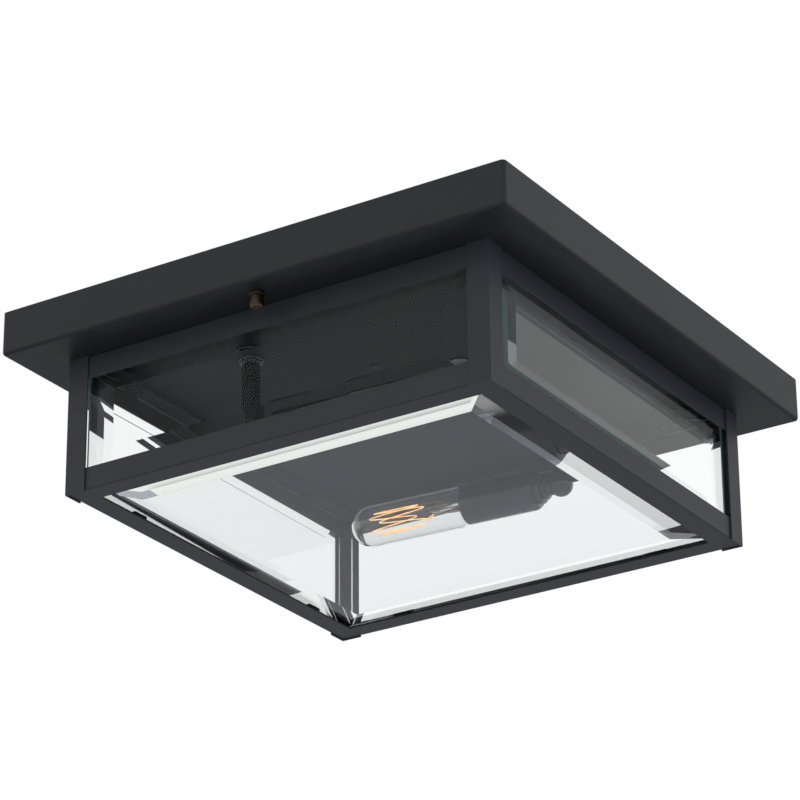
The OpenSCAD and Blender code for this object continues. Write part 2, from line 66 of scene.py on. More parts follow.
# Room --------------------------------------------------------------------------------------
# A white studio with a wide pale floor, as low as a porch floor. The lens sees the room white,
# and so do metal and glass; the lantern is lit by soft light that fades overhead.
class Wire:
    """A socket of a node tree. Arithmetic on it adds Math nodes."""

    def __init__(self, tree, socket=None):
        self.tree, self.socket = tree, socket

    def add(self, kind, inputs=None, output=0, **settings):
        """Adds a node: its settings first, then a value or a Wire for each input named."""
        node = self.tree.nodes.new(kind)
        for name, value in settings.items():
            setattr(node, name, value)
        for name, value in (inputs or {}).items():
            if isinstance(value, Wire):
                self.tree.links.new(value.socket, node.inputs[name])
            else:
                node.inputs[name].default_value = value
        return Wire(self.tree, node.outputs[output])

    def sum_of(self, operation, *terms, clamp=False):
        return self.add("ShaderNodeMath", dict(enumerate(terms)), operation=operation,
                        use_clamp=clamp)

    def __add__(self, other):
        return self.sum_of("ADD", self, other)

    def __sub__(self, other):
        return self.sum_of("SUBTRACT", self, other)

    def __rsub__(self, other):
        return self.sum_of("SUBTRACT", other, self)

    def __mul__(self, other):
        return self.sum_of("MULTIPLY", self, other)

    def __gt__(self, other):
        return self.sum_of("GREATER_THAN", self, other)

    __radd__, __rmul__ = __add__, __mul__

    def between(self, low, high):
        """0 up to low, 1 from high, and a smooth rise between them."""
        return self.add("ShaderNodeMapRange", {0: self, 1: low, 2: high},
                        interpolation_type="SMOOTHSTEP")

    def mix(self, dark, light):
        """Colour between dark, where the mask is 0, and light, where it is 1."""
        def plain(colour):
            return colour if isinstance(colour, Wire) else (*colour, 1)
        return self.add("ShaderNodeMix", {0: self, 6: plain(dark), 7: plain(light)}, 2,
                        data_type="RGBA")

    def part(self, axis):
        """One coordinate of a vector: 0, 1 or 2."""
        return self.add("ShaderNodeSeparateXYZ", {0: self}, axis)

    def noise(self, scale, detail=2.0, rough=0.5, stretch=None):
        """Value of a noise, whose scale is features to the metre."""
        where = self if stretch is None else self.add(
            "ShaderNodeMapping", {"Vector": self, "Scale": stretch})
        return self.add("ShaderNodeTexNoise", {
            "Vector": where, "Scale": scale, "Detail": detail, "Roughness": rough})


def meets_background(tree):
    """1 for a ray from the lens, and for one mirrored or let through; 0 for any other."""
    camera_ray, glossy_ray, through_ray = (
        tree.add("ShaderNodeLightPath", output=f"Is {kind} Ray")
        for kind in ("Camera", "Glossy", "Transmission"))
    return (camera_ray + glossy_ray).sum_of("ADD", camera_ray + glossy_ray, through_ray,
                                            clamp=True)


def light_room():
    room = bpy.data.worlds.new("room")
    room.use_nodes = True
    bpy.context.scene.world = room
    tree = Wire(room.node_tree)
    direction = tree.add("ShaderNodeTexCoord", output="Generated")
    height, right = direction.part(2), direction.part(0)
    # the lens, and what metal and glass mirror or let through, meet white at a strength of 1;
    # a path that has left a dull surface meets the soft light instead, also through glass
    lit = tree.add("ShaderNodeLightPath", output="Diffuse Depth") > 0.5
    seen = meets_background(tree) * (1 - lit)
    # the soft light is 1.4 from below and fades to 0.7 overhead, bluer from the right
    even = 1.4 - 0.7 * height.between(-0.6, 0.6)
    tint = right.between(-0.3, 0.6).mix((0.97, 0.99, 1.0), (0.82, 0.91, 1.10))
    backdrop = room.node_tree.nodes["Background"]
    room.node_tree.links.new(seen.mix(tint, (1, 1, 1)).socket, backdrop.inputs["Color"])
    room.node_tree.links.new((seen + (1 - seen) * even).socket, backdrop.inputs["Strength"])


light_room()


def new_finish(name, **even):
    """A material, its Principled shader with the even values set, and its Object coordinates."""
    finish = bpy.data.materials.new(name)
    finish.use_nodes = True
    shader = finish.node_tree.nodes["Principled BSDF"]
    for socket, value in even.items():
        shader.inputs[socket.replace("_", " ")].default_value = value
    return finish, shader, Wire(finish.node_tree).add("ShaderNodeTexCoord", output="Object")


def feed(shader, **wires):
    """Links each wire to the shader's socket of that name."""
    for socket, wire in wires.items():
        wire.tree.links.new(wire.socket, shader.inputs[socket.replace("_", " ")])


def bumps(height, depth, strength=1.0):
    """Normal of a relief that is depth metres high where the height is 1."""
    return height.add("ShaderNodeBump", {
        "Height": height, "Distance": depth, "Strength": strength})


def porch_floor(level=-2.4, radius=14.0):
    """A round slab of pale paint, one ring of points round its middle. It reaches so far out
    that the bottom pane mirrors it."""
    angle = np.linspace(0, 2 * np.pi, 96, endpoint=False)
    rim = np.stack([radius * np.cos(angle), radius * np.sin(angle), np.full(96, level)], 1)
    mesh = bpy.data.meshes.new("porch_floor")
    mesh.from_pydata(rim.tolist(), [], [list(range(96))])
    paint, shader, place = new_finish("pale_floor", Roughness=0.8)
    feed(shader, Base_Color=place.noise(1.5).mix((0.63, 0.63, 0.63), (0.67, 0.67, 0.67)))
    mesh.materials.append(paint)
    floor = bpy.data.objects.new("porch_floor", mesh)
    bpy.context.collection.objects.link(floor)


porch_floor()


# Canopy pan --------------------------------------------------------------------------------
# A square tray folded from 1 mm sheet steel, open to the ceiling, with a square opening in its
# floor. Its bends are 2 mm round outside, its corners are closed, and it is powder coated.
SHEET = 1.0
PAN_HALF, PAN_H = 152.5, 24.5
OPENING_HALF = 114.0
STUD_AT, STUD_HOLE_R = 140.0, 2.6


def powder_coat(name, light=1.0, rough=0.44, shine=0.2, relief=0.5):
    """Satin black powder: an even skin with a fine orange peel and slightly duller patches."""
    finish, shader, place = new_finish(name, Specular_IOR_Level=shine)
    patches = place.noise(22, 3)
    peel = place.noise(950, 2)
    # painted lighting: light multiplies the black, so each part's copy of this one coat is painted
    # lighter by it in place of more light falling on that part
    feed(shader,
         Base_Color=patches.mix([light * c for c in (0.0125, 0.0134, 0.0148)],
                                [light * c for c in (0.0175, 0.0186, 0.0202)]),
         Roughness=rough - 0.04 + 0.08 * patches + 0.05 * peel,
         Normal=bumps(peel, 0.00002, relief))
    return finish


def fillet(corners, radii, steps=4):
    """Corners (n, 2) of a closed outline, each replaced by an arc of its radius. The arc's centre
    is on the corner's bisector, and its spoke turns evenly from one side to the next."""
    corners = np.asarray(corners, float)
    radii = np.broadcast_to(np.asarray(radii, float), len(corners))[:, None]
    back = np.roll(corners, 1, axis=0) - corners
    ahead = np.roll(corners, -1, axis=0) - corners
    back /= np.linalg.norm(back, axis=1, keepdims=True)
    ahead /= np.linalg.norm(ahead, axis=1, keepdims=True)
    half = np.arccos(np.clip((back * ahead).sum(1, keepdims=True), -1, 1)) / 2
    middle = (back + ahead) / np.linalg.norm(back + ahead, axis=1, keepdims=True)
    centre = corners + middle * radii / np.sin(half)
    first = (corners + back * radii / np.tan(half) - centre) / radii
    last = (corners + ahead * radii / np.tan(half) - centre) / radii
    turn = (np.pi - 2 * half)[:, :, None]
    share = np.linspace(0, 1, steps + 1)[None, :, None]
    spoke = (np.sin((1 - share) * turn) * first[:, None]
             + np.sin(share * turn) * last[:, None]) / np.sin(turn)
    return (centre[:, None] + radii[:, None] * spoke).reshape(-1, 2)


def grid_faces(shape, around, closed, offset):
    """Quads between neighbours in a grid of points, and a cap on each open end."""
    rows, columns = shape
    number = np.arange(rows * columns).reshape(rows, columns) + offset
    below = np.roll(number, -1, axis=0)[:rows if closed else rows - 1]
    here = number[:len(below)]
    quads = np.stack([here, np.roll(here, -1, 1), np.roll(below, -1, 1), below], -1)
    faces = quads[:, :columns if around else columns - 1].reshape(-1, 4).tolist()
    return faces if closed else faces + [number[0, ::-1].tolist(), number[-1].tolist()]


def piece(name, grids, body, finish, closed=False, stands_for=(), crease=33):
    """Makes a piece of one grid of points (rows, columns, 3) in millimetres, or of several. Rows
    close round. Where closed, the last row also joins the first; otherwise the ends are capped."""
    grids = [grids] if isinstance(grids, np.ndarray) else list(grids)
    sizes = np.cumsum([0] + [g.shape[0] * g.shape[1] for g in grids])
    faces = sum((grid_faces(g.shape[:2], True, closed, int(at))
                 for g, at in zip(grids, sizes)), [])
    mesh = bpy.data.meshes.new(name)
    mesh.from_pydata((np.concatenate([g.reshape(-1, 3) for g in grids]) * MM).tolist(), [], faces)
    work = bmesh.new()
    work.from_mesh(mesh)
    bmesh.ops.remove_doubles(work, verts=work.verts, dist=1e-6)
    bmesh.ops.recalc_face_normals(work, faces=work.faces)
    if work.calc_volume(signed=True) < 0:
        bmesh.ops.reverse_faces(work, faces=work.faces)
    work.to_mesh(mesh)
    work.free()
    mesh.shade_smooth()
    mesh.set_sharp_from_angle(angle=math.radians(crease))
    mesh.materials.append(finish)
    made = bpy.data.objects.new(name, mesh)
    bpy.context.collection.objects.link(made)
    flats = made.modifiers.new("flats", "WEIGHTED_NORMAL")
    flats.keep_sharp = True
    flats.weight = 100
    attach(made, body)
    if stands_for:
        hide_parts(*([stands_for] if isinstance(stands_for, str) else stands_for))
    return made


def quarter(grid, i):
    """The grid turned i quarter turns about the lantern's middle."""
    c, s = ((1, 0), (0, 1), (-1, 0), (0, -1))[i % 4]
    return grid @ np.array([[c, s, 0], [-s, c, 0], [0, 0, 1]], float)


def pan_shell():
    """The tray's section is carried round a square: each point of the section, half the tray's
    side and its height, is a square with corners as round as the bend leaves them there."""
    section = fillet(
        [(OPENING_HALF, -PAN_H), (PAN_HALF, -PAN_H), (PAN_HALF, 0), (PAN_HALF - SHEET, 0),
         (PAN_HALF - SHEET, SHEET - PAN_H), (OPENING_HALF, SHEET - PAN_H)],
        [0.2, 2.0, 0.3, 0.2, 1.0, 0.2], 6)
    half, height = section[:, 0, None], section[:, 1, None]
    bend = np.clip(2.3 - (PAN_HALF - half), 0.15, None)
    angle = np.linspace(0, np.pi / 2, 7)
    corner = np.concatenate([angle + k * np.pi / 2 for k in range(4)])
    lean = np.repeat([(1, 1), (-1, 1), (-1, -1), (1, -1)], 7, axis=0)
    x = lean[:, 0] * (half - bend) + bend * np.cos(corner)
    y = lean[:, 1] * (half - bend) + bend * np.sin(corner)
    return np.stack([x, y, np.broadcast_to(height, x.shape)], -1)


def drill(target, centres, radius, low, high):
    """Holes through a piece: round cutters taken away by a Boolean that is then applied."""
    angle = np.linspace(0, 2 * np.pi, 32, endpoint=False)
    circle = np.stack([radius * np.cos(angle), radius * np.sin(angle), 0 * angle], 1)
    for x, y in centres:
        rings = np.stack([circle + (x, y, low), circle + (x, y, high)])
        mesh = bpy.data.meshes.new("drill")
        mesh.from_pydata((rings.reshape(-1, 3) * MM).tolist(), [],
                         grid_faces((2, 32), True, False, 0))
        cutter = bpy.data.objects.new("drill", mesh)
        bpy.context.collection.objects.link(cutter)
        cut = target.modifiers.new("hole", "BOOLEAN")
        cut.operation, cut.object, cut.solver = "DIFFERENCE", cutter, "EXACT"
        while target.modifiers[0] != cut:
            target.modifiers.move(len(target.modifiers) - 1, 0)
        seen = bpy.context.evaluated_depsgraph_get()
        target.modifiers[1].show_viewport = False
        seen.update()
        cut_mesh = bpy.data.meshes.new_from_object(target.evaluated_get(seen))
        target.modifiers[1].show_viewport = True
        target.modifiers.remove(cut)
        target.data = cut_mesh
        bpy.data.objects.remove(cutter)


# painted lighting: the pan's copy of the black coat is painted lighter, at 1.5
coat = powder_coat("satin_black_coat", 1.5)
pan = piece("folded_pan", pan_shell(), "cage", coat, closed=True,
            stands_for="canopy_pan")
drill(pan, [(0, -STUD_AT), (0, STUD_AT)], STUD_HOLE_R, -PAN_H - 1, SHEET - PAN_H + 1)


# Cage frame --------------------------------------------------------------------------------
# Half-inch steel angles, folded from the same sheet: four corner posts with their legs outside,
# and mitred rails between them at the top and bottom. Welded to the pan and coated with it.
LEG = 12.5
POST_OUT, CAGE_BOTTOM = 127.5, 100.0
RAIL_OUT = POST_OUT - SHEET
RAIL_FLOOR = CAGE_BOTTOM - 0.5


def angle_section():
    """Outline of a folded angle from its outer corner: leg along each axis, round in the bend."""
    return fillet([(0, 0), (LEG, 0), (LEG, SHEET), (SHEET, SHEET), (SHEET, LEG), (0, LEG)],
                  [0.7, 0.25, 0.25, 0.3, 0.25, 0.25], 4)


def corner_post(i):
    """The section stands upright from the pan to the feet, a touch smaller at the foot's end."""
    section = angle_section()
    depth = np.array([PAN_H, CAGE_BOTTOM - 0.25, CAGE_BOTTOM])[:, None]
    eased = section.mean(0) + (section - section.mean(0)) * 0.985
    rows = np.stack([section, section, eased])
    return quarter(np.stack([rows[..., 0] - POST_OUT, rows[..., 1] - POST_OUT,
                             np.broadcast_to(-depth, rows.shape[:2])], -1), i)


def mitred_rail(i, flange, up):
    """The section runs along the side; each point of it stops where it meets the diagonal."""
    section = angle_section()
    y = section[:, 0] - RAIL_OUT
    z = flange + up * section[:, 1]
    run = np.array([-1, 1])[:, None] * (np.abs(y) - 0.03)
    return quarter(np.stack([run, np.broadcast_to(y, run.shape), np.broadcast_to(z, run.shape)],
                            -1), i)


# painted lighting: the frame's copy of the pan's coat is painted lighter still, at 2.5 against the
# pan's 1.5
painted_lighter_frame_coat = powder_coat("painted_lighter_frame_coat", 2.5)
SIDES = ("front", "right", "back", "left")
CORNERS = ("front_left", "front_right", "back_right", "back_left")
for i in range(4):
    piece(f"folded_post_{CORNERS[i]}", corner_post(i), "cage", painted_lighter_frame_coat,
          stands_for=f"post_{CORNERS[i]}")
    piece(f"mitred_top_rail_{SIDES[i]}", mitred_rail(i, -PAN_H, -1), "cage",
          painted_lighter_frame_coat, stands_for=f"top_rail_{SIDES[i]}")
    piece(f"mitred_bottom_rail_{SIDES[i]}", mitred_rail(i, -RAIL_FLOOR, 1), "cage",
          painted_lighter_frame_coat, stands_for=f"bottom_rail_{SIDES[i]}")


# Panes -------------------------------------------------------------------------------------
# Five plates of clear float glass with a faint green body. A wide bevel is ground and polished
# round each, and the narrow edge outside the bevel is left satin.
def bevelled_glass(name, middle, half, painted_glow, turn):
    """Clear glass, satin on the plate's edges, with a dark specular tint that keeps faint what it
    mirrors head-on. Light trapped between its two faces runs from bevel to bevel by more
    mirrorings than are followed, so a painted glow in the colour given stands in for it. Only
    paths inside the glass at the mirroring of the number turn meet that glow. In the flat pane the
    painted glow is kept to the front bevel, and stops 98 mm right of the middle."""
    finish, shader, place = new_finish(name, IOR=1.52, Transmission_Weight=1.0,
                                       Specular_Tint=(0, 0, 0, 1), Emission_Strength=1.0)
    finish.cycles.emission_sampling = "NONE"
    turns = place.add("ShaderNodeLightPath", output="Glossy Depth")
    inside = place.add("ShaderNodeLightPath", output="Transmission Depth")
    # painted glow: only paths that meet this mask see the glow painted into the glass
    painted_glow_paths = ((turns > turn - 0.5) * (1 - (turns > turn + 0.5))
              * (inside > 0.5) * (1 - (inside > 1.5)))
    if not half[2]:
        front = 1 - place.part(1).between(-0.08, -0.06)
        painted_glow_paths = painted_glow_paths * (front * (1 - place.part(0).between(0.098, 0.102)))
    off = place.add("ShaderNodeVectorMath", {0: place, 1: middle}, operation="SUBTRACT")
    edge = None
    for axis, reach in enumerate(half):
        if reach:
            past = off.part(axis).sum_of("ABSOLUTE", off.part(axis)) > reach * MM - 0.00003
            edge = past if edge is None else edge.sum_of("MAXIMUM", edge, past)
    feed(shader,
         Base_Color=edge.mix((0.995, 1.0, 0.998), (0.80, 0.93, 0.88)),
         Roughness=edge * 0.35,
         Emission_Color=painted_glow_paths.mix((0, 0, 0), painted_glow))
    body = place.add("ShaderNodeVolumeAbsorption", {"Color": (0.35, 0.80, 0.68, 1),
                                                    "Density": 6.0}, output="Volume")
    body.tree.links.new(body.socket,
                        finish.node_tree.nodes["Material Output"].inputs["Volume"])
    return finish


def finish_node(node, finish):
    """Gives a CAD node's own surface its finish."""
    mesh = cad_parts[node].data
    mesh.materials.clear()
    mesh.materials.append(finish)


def middle_of(node):
    low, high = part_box(node)
    return tuple((a + b) / 2 for a, b in zip(low, high))


# each pane's painted glow: dark teal in the side panes, pale pinkish white in the bottom pane
for i, side in enumerate(SIDES):
    node = f"side_pane_{side}"
    finish_node(node, bevelled_glass(
        f"bevelled_glass_{side}", middle_of(node),
        half=(117, 0, 34.5) if i % 2 == 0 else (0, 117, 34.5), painted_glow=(0.08, 0.20, 0.18), turn=2))
finish_node("bottom_pane", bevelled_glass(
    "bevelled_glass_bottom", middle_of("bottom_pane"),
    half=(119, 119, 0), painted_glow=(0.98, 0.91, 0.90), turn=5))


# Glazing parts -----------------------------------------------------------------------------
# Small bent steel clips behind the panes, and black rubber blocks and pads under them, pushed
# in by hand before the rails are closed.
def rubber():
    """Cut rubber: dark, dull, with a pitted skin."""
    finish, shader, place = new_finish("black_rubber", Specular_IOR_Level=0.3)
    pits = place.noise(1600, 3)
    feed(shader, Base_Color=pits.mix((0.010, 0.010, 0.010), (0.022, 0.022, 0.021)),
         Roughness=0.72 + 0.2 * pits, Normal=bumps(pits, 0.00004))
    return finish


rubber_skin = rubber()
finish_node("side_pane_blocks", rubber_skin)
finish_node("bottom_pane_pads", rubber_skin)
finish_node("pane_clips", coat)


# Inner plate -------------------------------------------------------------------------------
# A square of sheet steel that closes the cage's opening from above. Two screws hold it to the
# ceiling bar's spacers, and it carries the two lamp arms. Coated black.
inner_coat = powder_coat("inner_plate_coat", rough=0.5)
finish_node("back_plate", inner_coat)
finish_node("plate_screws", coat)


# Lamp arms ---------------------------------------------------------------------------------
# For each lamp, a threaded pipe comes down through the plate with a rolled collar round it; a
# ball elbow turns it level; and a spun steel cup with turned steps holds the lampholder.
LAMP = np.array([48.8, 73.0, -61.6])
TURN = math.radians(4)
ALONG = np.array([-math.cos(TURN), -math.sin(TURN), 0.0])
DOWN = np.array([0.0, 0.0, -1.0])
STEM_R, BORE_R, STEM_TOP, STEM_END = 4.8, 3.5, 14, 58
BALL_R, PLATE_BOTTOM = 6.5, 23.4


def turned(profile, start, along, sides=64):
    """Each point of the profile, its distance along the axis and its radius, goes once round."""
    across = np.cross(along, (0.3, 0.2, 0.9) if abs(along[2]) < 0.5 else (1, 0, 0))
    across = across / np.linalg.norm(across)
    up = np.cross(along, across)
    angle = np.linspace(0, 2 * np.pi, sides, endpoint=False)[:, None]
    spoke = np.cos(angle) * across + np.sin(angle) * up
    profile = np.asarray(profile, float)
    return start + profile[:, :1, None] * along + profile[:, 1:, None] * spoke


def half_turned(grid, i):
    """The grid at lamp a, or turned half round for lamp b."""
    return quarter(grid, 2 * i)


def tidy_profile(points, radii, steps=3):
    """An open outline with its inner corners rounded; its two ends stay as they are."""
    points = np.asarray(points, float)
    round_ones = fillet(points, radii, steps)[steps + 1:-steps - 1]
    return np.concatenate([points[:1], round_ones, points[-1:]])


stem = turned(fillet([(STEM_TOP, STEM_R), (STEM_END, STEM_R), (STEM_END, BORE_R),
                      (STEM_TOP, BORE_R)], 0.2), LAMP * (1, 1, 0), DOWN)
bead = np.linspace(-np.pi / 2, np.pi / 2, 9)
beads = np.concatenate([
    [(PLATE_BOTTOM, STEM_R + 0.02)],
    np.stack([PLATE_BOTTOM + 0.85 + 0.85 * np.sin(bead), 5.75 + 0.85 * np.cos(bead)], 1),
    np.stack([PLATE_BOTTOM + 2.55 + 0.85 * np.sin(bead), 5.15 + 0.85 * np.cos(bead)], 1),
    [(PLATE_BOTTOM + 3.4, STEM_R + 0.02)]])
collar = turned(beads, LAMP * (1, 1, 0), DOWN)
sweep = np.linspace(0, np.pi, 33)
ball = turned(np.stack([-BALL_R * np.cos(sweep), BALL_R * np.sin(sweep)], 1), LAMP, ALONG)
cup_outline = tidy_profile(
    [(4.9, 3.2), (4.9, 4.6), (7.4, 4.6), (7.9, 5.6), (8.3, 6.2), (9.7, 6.2), (10.2, 5.7),
     (10.5, 7.2), (11.0, 8.0), (13.0, 8.0), (13.5, 7.5), (13.8, 9.3), (15.3, 10.35),
     (16.5, 10.75), (56.7, 10.75), (56.7, 9.75), (17.5, 9.75), (17.5, 3.2)],
    [0.1, 0.2, 0.1, 0.3, 0.3, 0.4, 0.15, 0.15, 0.5, 0.5, 0.2, 0.15, 0.9, 1.2, 0.3, 0.3, 0.3,
     0.1])
cup = turned(cup_outline, LAMP, ALONG, 96)
# painted lighting: the cups' and pipes' copies of the black coat are painted lighter, at 1.1 and
# 1.4
cup_coat = powder_coat("cup_coat", light=1.1, rough=0.22, shine=0.8, relief=0.1)
rolled_coat = powder_coat("rolled_coat", light=1.4, rough=0.2, shine=0.9, relief=0.1)
for i, lamp in enumerate("ab"):
    piece(f"threaded_pipe_{lamp}", half_turned(stem, i), "ceiling_mount",
          rolled_coat, closed=True, stands_for=f"stem_{lamp}")
    piece(f"ball_elbow_{lamp}", half_turned(ball, i), "ceiling_mount", cup_coat,
          stands_for=f"elbow_{lamp}")
    piece(f"spun_cup_{lamp}", half_turned(cup, i), "ceiling_mount", cup_coat,
          closed=True, stands_for=f"socket_cup_{lamp}")
piece("rolled_collars", [collar, half_turned(collar, 1)], "ceiling_mount",
      rolled_coat, closed=True, stands_for="stem_collars")


# Lampholders -------------------------------------------------------------------------------
# Inside each cup a moulded insulator holds a brass screw shell and a centre contact.
def moulded_insulator():
    """Pale grey moulding powder with a faint fleck."""
    finish, shader, place = new_finish("moulded_insulator", Specular_IOR_Level=0.4)
    fleck = place.noise(1400, 3)
    feed(shader, Base_Color=fleck.mix((0.19, 0.18, 0.155), (0.26, 0.25, 0.22)),
         Roughness=0.5 + 0.15 * fleck, Normal=bumps(fleck, 0.00001))
    return finish


def bright_metal(name, dark, light, rough, streak=(1, 1, 1), scale=260):
    """Bare or plated metal: streaks or cloudiness between two tones, duller where it is darker."""
    finish, shader, place = new_finish(name, Metallic=1.0)
    cloud = place.noise(scale, 3, 0.55, streak)
    feed(shader, Base_Color=cloud.mix(dark, light), Roughness=rough + 0.12 - 0.16 * cloud,
         Normal=bumps(place.noise(scale * 4, 2, 0.5, streak), 0.00001, 0.6))
    return finish


insulator = moulded_insulator()
socket_brass = bright_metal("socket_brass", (0.42, 0.27, 0.09), (0.60, 0.42, 0.17), 0.3)
tinned = bright_metal("tinned_contact", (0.30, 0.30, 0.30), (0.52, 0.52, 0.51), 0.4)
for lamp in "ab":
    finish_node(f"socket_insulator_{lamp}", insulator)
    finish_node(f"screw_shell_{lamp}", socket_brass)
    finish_node(f"socket_contact_{lamp}", socket_brass)
    finish_node(f"bulb_base_{lamp}", socket_brass)
    finish_node(f"bulb_contact_{lamp}", tinned)


# Bulbs -------------------------------------------------------------------------------------
# A clear blown tube with a round end. Inside, a glass mount with two copper-clad leads carries
# the filament, bent in long hairpins round a drum and lit amber.
TUBE_R, CAP_AT, SHOULDER_AT, TIP_WALL = 11.8, 114.8, 62.0, 0.7
SHOULDER_R, NECK_R, NECK_AT = 4.6, 5.1, 42.8


def bulb_line(inset, steps=20):
    """Half outline of the glass, inset by a wall: quarter circle, tube, rounded shoulder, neck."""
    cap = np.linspace(np.pi / 2, 0, steps)
    fold = np.linspace(0, -np.pi / 2, 9)
    body = np.stack([CAP_AT + (TUBE_R - inset) * np.sin(cap), (TUBE_R - inset) * np.cos(cap)], 1)
    shoulder = np.stack([SHOULDER_AT + (SHOULDER_R - inset) * np.sin(fold),
                         TUBE_R - SHOULDER_R + (SHOULDER_R - inset) * np.cos(fold)], 1)
    neck = [(SHOULDER_AT - SHOULDER_R + inset, NECK_R - inset), (NECK_AT, NECK_R - inset)]
    return np.concatenate([body, shoulder, neck])


def clear_tube_glass():
    """Thin blown glass with a slow ripple along the tube."""
    finish, shader, place = new_finish("clear_tube_glass", IOR=1.47, Roughness=0.0,
                                       Transmission_Weight=1.0)
    ripple = place.noise(60, 1)
    feed(shader, Base_Color=ripple.mix((0.93, 0.94, 0.94), (0.97, 0.975, 0.975)),
         Normal=bumps(ripple, 0.00002, 0.2))
    return finish


def hairpins():
    """Path of the filament: round the drum by an angle that grows evenly, and up and down it as
    the cosine of that angle times the number of hairpins, with a leg down to the mount."""
    count, swept = 5, math.radians(340)
    share = np.linspace(0, 1, count * 28 + 1)
    angle = swept * share
    wave = np.cos(2 * np.pi * count * share)
    drum = np.stack([84.4 + 14.6 * (1 - wave), 6.2 * np.cos(angle), 6.2 * np.sin(angle)], 1)
    leg = np.stack([np.linspace(77.6, 83.8, 5), np.linspace(1.7, 5.7, 5), np.zeros(5)], 1)
    back = np.stack([leg[:, 0], leg[:, 1] * math.cos(swept), leg[:, 1] * math.sin(swept)], 1)
    return np.concatenate([leg, drum, back[::-1]])


def lamp_place(points):
    """Points given along the lamp's axis and across it, put at lamp a."""
    level = np.cross(ALONG, (0.0, 0.0, 1.0))
    axes = np.stack([ALONG, level, (0.0, 0.0, 1.0)])
    return LAMP + points @ axes


def tube(path, radius, lean=(0.31, 0.57, 0.76), sides=10):
    """A round section carried along a path: at each point the circle stands square to it."""
    path = np.asarray(path, float)
    ahead = np.gradient(path, axis=0)
    ahead /= np.linalg.norm(ahead, axis=1, keepdims=True)
    side = np.cross(ahead, np.asarray(lean, float))
    side /= np.linalg.norm(side, axis=1, keepdims=True)
    up = np.cross(side, ahead)
    angle = np.linspace(0, 2 * np.pi, sides, endpoint=False)[None, :, None]
    return path[:, None] + radius * (np.cos(angle) * side[:, None] + np.sin(angle) * up[:, None])


def lit_filament():
    """Glowing wire, a little paler in patches, as where a hairpin runs hotter."""
    finish, shader, place = new_finish("lit_filament", Emission_Strength=1.5, Roughness=0.6)
    shader.inputs["Base Color"].default_value = (0.30, 0.12, 0.03, 1)
    rim = place.add("ShaderNodeLayerWeight", {"Blend": 0.35}, "Facing")
    hot = place.noise(150, 1).between(0.35, 0.65)
    core = hot.mix((1.0, 0.50, 0.16), (1.0, 0.74, 0.38))
    feed(shader, Emission_Color=rim.between(0.1, 0.6).mix(core, (0.62, 0.20, 0.04)))
    return finish


tube_glass = clear_tube_glass()
mount_glass = clear_tube_glass()
glow = lit_filament()
clad_lead = bright_metal("copper_lead", (0.55, 0.30, 0.17), (0.80, 0.52, 0.34), 0.3)
outer, inner = bulb_line(0), bulb_line(TIP_WALL)
blown = turned(np.concatenate([outer, inner[::-1]]), LAMP, ALONG, 96)
mount_outline = tidy_profile(
    [(42.8, 0), (42.8, 4.3), (44.8, 4.3), (46.5, 2.6), (66, 2.4), (73, 2.0), (77.4, 2.3),
     (78, 1.2), (78, 0)], [0.1, 0.3, 0.4, 1.2, 2, 2, 0.5, 0.4, 0.1])
mount = turned(mount_outline, np.zeros(3), np.array([1.0, 0, 0]), 32)
pinch = np.clip((mount[..., 0] - 66) / 9, 0, 1)
mount[..., 2] *= 1 - 0.62 * pinch
mount[..., 1] *= 1 + 0.15 * pinch
leads = [np.stack([np.linspace(46, 77.8, 9), side * np.interp(np.linspace(46, 77.8, 9),
                                                               [46, 60, 78], [1.0, 1.2, 1.7]),
                   np.zeros(9)], 1) for side in (-1, 1)]
for i, lamp in enumerate("ab"):
    body = f"bulb_{lamp}"
    piece(f"blown_tube_{lamp}", half_turned(blown, i), body, tube_glass,
          stands_for=f"bulb_glass_{lamp}", crease=60)
    piece(f"hairpin_filament_{lamp}", half_turned(tube(lamp_place(hairpins()), 0.33), i), body,
          glow, stands_for=f"filament_{lamp}", crease=80)
    piece(f"pinched_mount_{lamp}", half_turned(lamp_place(mount), i), body,
          mount_glass, stands_for=f"glass_mount_{lamp}")
    piece(f"mount_leads_{lamp}", [half_turned(tube(lamp_place(lead), 0.42), i) for lead in leads],
          body, clad_lead)


# Ceiling bar -------------------------------------------------------------------------------
# A zinc plated steel bar that screws to the outlet box. Two studs with rolled threads hang from
# its ends, locked by nuts, and two spacers carry the inner plate.
zinc = bright_metal("zinc_plate", (0.42, 0.43, 0.45), (0.62, 0.63, 0.64), 0.34, (1, 0.12, 1), 300)
zinc_cast = bright_metal("zinc_fastener", (0.40, 0.41, 0.42), (0.60, 0.60, 0.59), 0.3)
finish_node("crossbar", zinc)
finish_node("stand_offs", zinc_cast)


def thread(radius, top, bottom, pitch, depth, sides=28):
    """Screw surface: the radius falls and rises as a rounded ridge of the distance along the axis
    less the share of a turn, so the ridge winds round; both ends taper to the core."""
    along = np.arange(top, bottom + 1e-6, pitch / 6)[:, None]
    angle = np.linspace(0, 2 * np.pi, sides, endpoint=False)[None]
    ridge = np.abs(((along / pitch - angle / (2 * np.pi)) % 1) * 2 - 1)
    fade = np.clip(np.minimum(along - top, bottom - along) / pitch, 0, 1)
    r = radius - depth * (1 - fade * ridge)
    return np.stack([r * np.cos(angle), r * np.sin(angle), -along + 0 * angle], -1)


